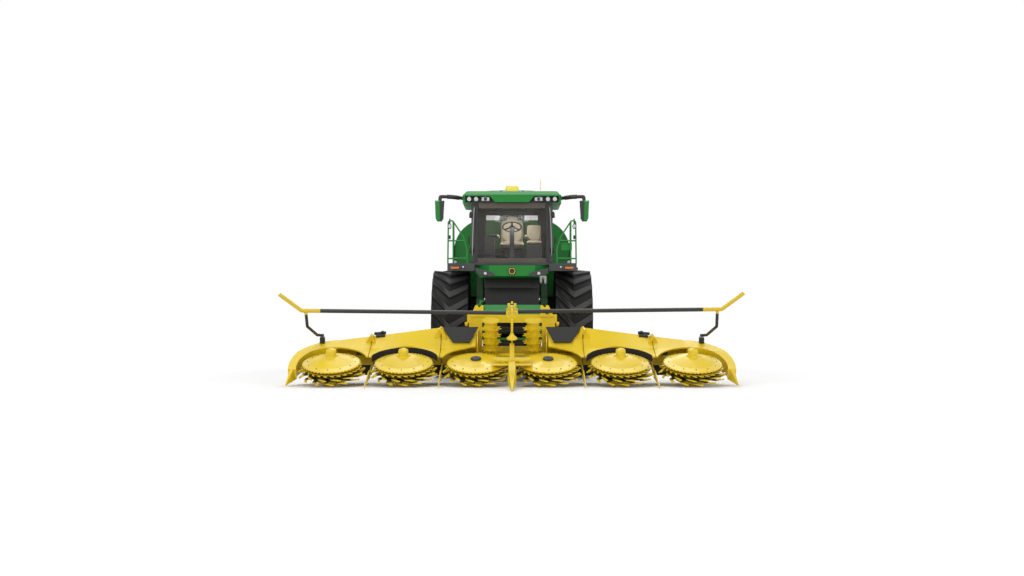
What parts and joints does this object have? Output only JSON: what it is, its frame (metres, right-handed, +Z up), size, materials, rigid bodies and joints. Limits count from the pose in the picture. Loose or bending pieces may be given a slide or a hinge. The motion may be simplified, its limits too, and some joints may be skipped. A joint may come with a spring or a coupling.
{
  "type": "forage harvester",
  "caption": "Self-propelled forage harvester with a glazed cab, a swinging discharge spout and a folding rotary maize header on a lifting feeder.",
  "frame": {"origin": "on the ground, in the middle of the whole machine's length and width, header included", "axes": "-Y forwards, over the header; +X the machine's own left side; +Z up"},
  "size_m": [7.8826, 9.4, 3.958],
  "materials": {
    "tyre": "worn",
    "rim_yellow": "satin",
    "green": "glossy",
    "dark_green": "satin",
    "header_yellow": "satin",
    "bright_steel": "polished",
    "black_metal": "satin",
    "black_rubber": "matt",
    "dark_grey": "textured",
    "tank_black": "satin",
    "tinted_glass": "clear",
    "lamp": "clear",
    "aerial_cream": "glossy",
    "seat_beige": "woven",
    "engine_iron": "painted"
  },
  "bodies": {
    "chassis": {"main_frame": "dark_green", "front_axle": "dark_green", "rear_axle_beam": "dark_green", "engine_block": "engine_iron", "crop_tower": "dark_green", "side_tanks": "tank_black", "platform": "dark_grey", "guard_rails": "green", "cab_shell": "black_metal", "cab_glass": "tinted_glass", "cab_roof": "green", "roof_lamps": "lamp", "roof_aerials": "aerial_cream", "mirrors": "green", "cab_seats": "seat_beige", "cab_controls": "dark_grey", "nose_panel": "green", "apron": "black_rubber", "hood_shell": "green"},
    "header": {"feed_housing": "green", "header_centre": "header_yellow", "centre_nose": "header_yellow"},
    "lift_barrels": {"lift_barrels": "black_metal"},
    "lift_rods": {"lift_rods": "bright_steel"},
    "steering_rod": {"steering_rod": "bright_steel"},
    "rear_grille_door": {"rear_grille_door": "dark_grey"},
    "spout_turret": {"spout_turret": "dark_grey"},
    "spout_arm": {"spout_arm": "green"},
    "spout_flap": {"spout_flap": "green"},
    "feed_roll": {"feed_roll": "bright_steel"},
    "rotor_1": {"rotor_drum_1": "header_yellow"},
    "rotor_2": {"rotor_drum_2": "header_yellow"},
    "rotor_3": {"rotor_drum_3": "header_yellow"},
    "rotor_4": {"rotor_drum_4": "header_yellow"},
    "rotor_5": {"rotor_drum_5": "header_yellow"},
    "rotor_6": {"rotor_drum_6": "header_yellow"},
    "front_wheel_left": {"front_tyre_left": "tyre", "front_rim_left": "rim_yellow"},
    "rear_wheel_left": {"rear_tyre_left": "tyre", "rear_rim_left": "rim_yellow"},
    "knuckle_left": {"steering_knuckle_left": "dark_green"},
    "door_left": {"door_left": "black_metal", "door_glass_left": "tinted_glass"},
    "hood_door_left": {"hood_door_left": "green"},
    "feed_stack_left": {"feed_stack_left": "header_yellow"},
    "inner_wing_left": {"inner_wing_left": "header_yellow"},
    "outer_wing_left": {"outer_wing_left": "header_yellow"},
    "push_bar_left": {"push_bar_left": "black_metal"},
    "front_wheel_right": {"front_tyre_right": "tyre", "front_rim_right": "rim_yellow"},
    "rear_wheel_right": {"rear_tyre_right": "tyre", "rear_rim_right": "rim_yellow"},
    "knuckle_right": {"steering_knuckle_right": "dark_green"},
    "door_right": {"door_right": "black_metal", "door_glass_right": "tinted_glass"},
    "hood_door_right": {"hood_door_right": "green"},
    "feed_stack_right": {"feed_stack_right": "header_yellow"},
    "inner_wing_right": {"inner_wing_right": "header_yellow"},
    "outer_wing_right": {"outer_wing_right": "header_yellow"},
    "push_bar_right": {"push_bar_right": "black_metal"}
  },
  "joints": [
    {"name": "front_wheel_left_spin", "type": "hinge", "parent": "chassis", "child": "front_wheel_left", "pos_m": [1.175, -0.5, 1.05], "axis": [1, 0, 0], "continuous": true},
    {"name": "steer_left", "type": "hinge", "parent": "chassis", "child": "knuckle_left", "pos_m": [0.8, 2.7, 0.745], "axis": [0, 0, 1], "range_deg": [-40, 40]},
    {"name": "rear_wheel_left_spin", "type": "hinge", "parent": "knuckle_left", "child": "rear_wheel_left", "pos_m": [1.15, 2.7, 0.745], "axis": [1, 0, 0], "continuous": true},
    {"name": "front_wheel_right_spin", "type": "hinge", "parent": "chassis", "child": "front_wheel_right", "pos_m": [-1.175, -0.5, 1.05], "axis": [1, 0, 0], "continuous": true},
    {"name": "steer_right", "type": "hinge", "parent": "chassis", "child": "knuckle_right", "pos_m": [-0.8, 2.7, 0.745], "axis": [0, 0, 1], "range_deg": [-40, 40]},
    {"name": "rear_wheel_right_spin", "type": "hinge", "parent": "knuckle_right", "child": "rear_wheel_right", "pos_m": [-1.15, 2.7, 0.745], "axis": [1, 0, 0], "continuous": true},
    {"name": "steering_rod_slide", "type": "slide", "parent": "chassis", "child": "steering_rod", "axis": [1, 0, 0], "range_m": [-0.155, 0.155]},
    {"name": "header_lift", "type": "hinge", "parent": "chassis", "child": "header", "pos_m": [0, -0.93, 1.18], "axis": [-1, 0, 0], "range_deg": [0, 20]},
    {"name": "lift_barrel_pivot", "type": "hinge", "parent": "chassis", "child": "lift_barrels", "pos_m": [0, -0.79, 0.88], "axis": [-1, 0, 0], "range_deg": [0, 20]},
    {"name": "lift_rod_slide", "type": "slide", "parent": "lift_barrels", "child": "lift_rods", "axis": [0, -0.9333, -0.359], "range_m": [0, 0.12]},
    {"name": "rotor_1_spin", "type": "hinge", "parent": "outer_wing_right", "child": "rotor_1", "pos_m": [-3.0875, -3.25, 0.209], "axis": [0, -0.309, 0.9511], "continuous": true},
    {"name": "rotor_2_spin", "type": "hinge", "parent": "inner_wing_right", "child": "rotor_2", "pos_m": [-1.8525, -3.25, 0.209], "axis": [0, -0.309, 0.9511], "continuous": true},
    {"name": "rotor_3_spin", "type": "hinge", "parent": "header", "child": "rotor_3", "pos_m": [-0.6175, -3.25, 0.209], "axis": [0, -0.309, 0.9511], "continuous": true},
    {"name": "rotor_4_spin", "type": "hinge", "parent": "header", "child": "rotor_4", "pos_m": [0.6175, -3.25, 0.209], "axis": [0, -0.309, 0.9511], "continuous": true},
    {"name": "rotor_5_spin", "type": "hinge", "parent": "inner_wing_left", "child": "rotor_5", "pos_m": [1.8525, -3.25, 0.209], "axis": [0, -0.309, 0.9511], "continuous": true},
    {"name": "rotor_6_spin", "type": "hinge", "parent": "outer_wing_left", "child": "rotor_6", "pos_m": [3.0875, -3.25, 0.209], "axis": [0, -0.309, 0.9511], "continuous": true},
    {"name": "feed_stack_left_spin", "type": "hinge", "parent": "header", "child": "feed_stack_left", "pos_m": [0.37, -2.5272, 0.4439], "axis": [0, -0.309, 0.9511], "continuous": true},
    {"name": "feed_stack_right_spin", "type": "hinge", "parent": "header", "child": "feed_stack_right", "pos_m": [-0.37, -2.5272, 0.4439], "axis": [0, -0.309, 0.9511], "continuous": true},
    {"name": "feed_roll_spin", "type": "hinge", "parent": "header", "child": "feed_roll", "pos_m": [0, -1.97, 0.98], "axis": [1, 0, 0], "continuous": true},
    {"name": "inner_fold_left", "type": "hinge", "parent": "header", "child": "inner_wing_left", "pos_m": [1.25, -3.42305, 0.74159], "axis": [0, -0.9511, -0.309], "range_deg": [0, 85]},
    {"name": "outer_fold_left", "type": "hinge", "parent": "inner_wing_left", "child": "outer_wing_left", "pos_m": [2.482, -3.38288, 0.61795], "axis": [0, -0.9511, -0.309], "range_deg": [0, 170]},
    {"name": "bar_fold_left", "type": "hinge", "parent": "header", "child": "push_bar_left", "pos_m": [0.06, -3.50457, 1.25135], "axis": [0, -0.9511, -0.309], "range_deg": [0, 90]},
    {"name": "cab_door_left", "type": "hinge", "parent": "chassis", "child": "door_left", "pos_m": [0.785, -1.505, 2.7], "axis": [0, 0, -1], "range_deg": [0, 75]},
    {"name": "hood_door_left", "type": "hinge", "parent": "chassis", "child": "hood_door_left", "pos_m": [1.188, 2.44, 2.637], "axis": [0, -1, 0], "range_deg": [0, 70]},
    {"name": "inner_fold_right", "type": "hinge", "parent": "header", "child": "inner_wing_right", "pos_m": [-1.25, -3.42305, 0.74159], "axis": [0, 0.9511, 0.309], "range_deg": [0, 85]},
    {"name": "outer_fold_right", "type": "hinge", "parent": "inner_wing_right", "child": "outer_wing_right", "pos_m": [-2.482, -3.38288, 0.61795], "axis": [0, 0.9511, 0.309], "range_deg": [0, 170]},
    {"name": "bar_fold_right", "type": "hinge", "parent": "header", "child": "push_bar_right", "pos_m": [-0.06, -3.50457, 1.25135], "axis": [0, 0.9511, 0.309], "range_deg": [0, 90]},
    {"name": "cab_door_right", "type": "hinge", "parent": "chassis", "child": "door_right", "pos_m": [-0.785, -1.505, 2.7], "axis": [0, 0, 1], "range_deg": [0, 75]},
    {"name": "hood_door_right", "type": "hinge", "parent": "chassis", "child": "hood_door_right", "pos_m": [-1.188, 2.44, 2.637], "axis": [0, 1, 0], "range_deg": [0, 70]},
    {"name": "grille_door", "type": "hinge", "parent": "chassis", "child": "rear_grille_door", "pos_m": [0.834, 4.174, 2.3], "axis": [0, 0, -1], "range_deg": [0, 100]},
    {"name": "spout_turn", "type": "hinge", "parent": "chassis", "child": "spout_turret", "pos_m": [0, 0.22, 3.18], "axis": [0, 0, 1], "range_deg": [-105, 105]},
    {"name": "spout_raise", "type": "hinge", "parent": "spout_turret", "child": "spout_arm", "pos_m": [0, 0.33, 3.56], "axis": [1, 0, 0], "range_deg": [0, 35]},
    {"name": "spout_flap_tilt", "type": "hinge", "parent": "spout_arm", "child": "spout_flap", "pos_m": [0, 4.22, 3.64], "axis": [-1, 0, 0], "range_deg": [0, 60]}
  ],
  "couplings": [
    {"joint": "steer_right", "follows": "steer_left", "ratio": 1},
    {"joint": "steering_rod_slide", "follows": "steer_left", "m_per_rad": -0.21},
    {"joint": "lift_barrel_pivot", "follows": "header_lift", "ratio": 0.927},
    {"joint": "lift_rod_slide", "follows": "header_lift", "m_per_rad": 0.3207},
    {"joint": "outer_fold_left", "follows": "inner_fold_left", "ratio": 2},
    {"joint": "bar_fold_left", "follows": "inner_fold_left", "ratio": 1.0588},
    {"joint": "outer_fold_right", "follows": "inner_fold_right", "ratio": 2},
    {"joint": "bar_fold_right", "follows": "inner_fold_right", "ratio": 1.0588}
  ]
}
